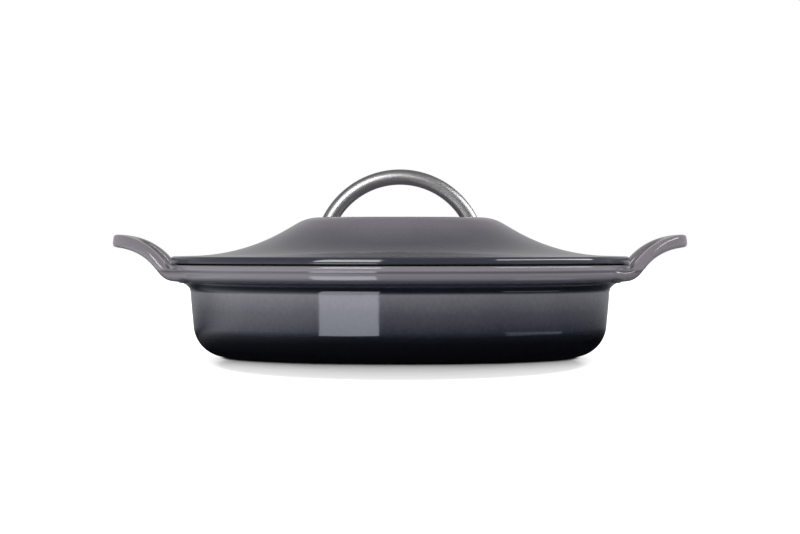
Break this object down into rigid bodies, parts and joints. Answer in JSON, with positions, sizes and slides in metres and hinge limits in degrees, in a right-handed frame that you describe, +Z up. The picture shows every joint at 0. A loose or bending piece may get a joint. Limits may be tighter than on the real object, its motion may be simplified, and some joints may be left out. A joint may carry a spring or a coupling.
{
  "type": "cast iron pot",
  "caption": "Shallow round cooking pot in enamelled cast iron, with flared side handles and a lift-off lid that carries an arched steel handle.",
  "frame": {"origin": "under the middle of the pot, on the surface that its foot ring stands on", "axes": "+X along the side handles, from the pot's axis to the right-hand handle seen from the front; +Y away from the front; +Z up, along the axis that the pot and lid are turned about"},
  "size_m": [0.3722, 0.2984, 0.1222],
  "materials": {
    "pot_enamel": "glossy grey vitreous enamel that darkens to blue-black at the base, light sand enamel inside",
    "lid_enamel": "glossy grey vitreous enamel with a darker rim edge, light sand enamel underneath",
    "rod_steel": "satin stainless steel",
    "fastener_steel": "plain stainless steel",
    "seal_silicone": "matt black heat-proof silicone"
  },
  "bodies": {
    "pot": {"pot_body": "pot_enamel"},
    "lid": {"lid": "lid_enamel", "arch_handle": "rod_steel", "left_screw": "fastener_steel", "right_screw": "fastener_steel", "left_washer": "fastener_steel", "right_washer": "fastener_steel", "left_seal": "seal_silicone", "right_seal": "seal_silicone"}
  },
  "joints": [
    {"name": "lid_lift", "type": "slide", "parent": "pot", "child": "lid", "axis": [0, 0, 1], "range_m": [0, 0.15]}
  ]
}
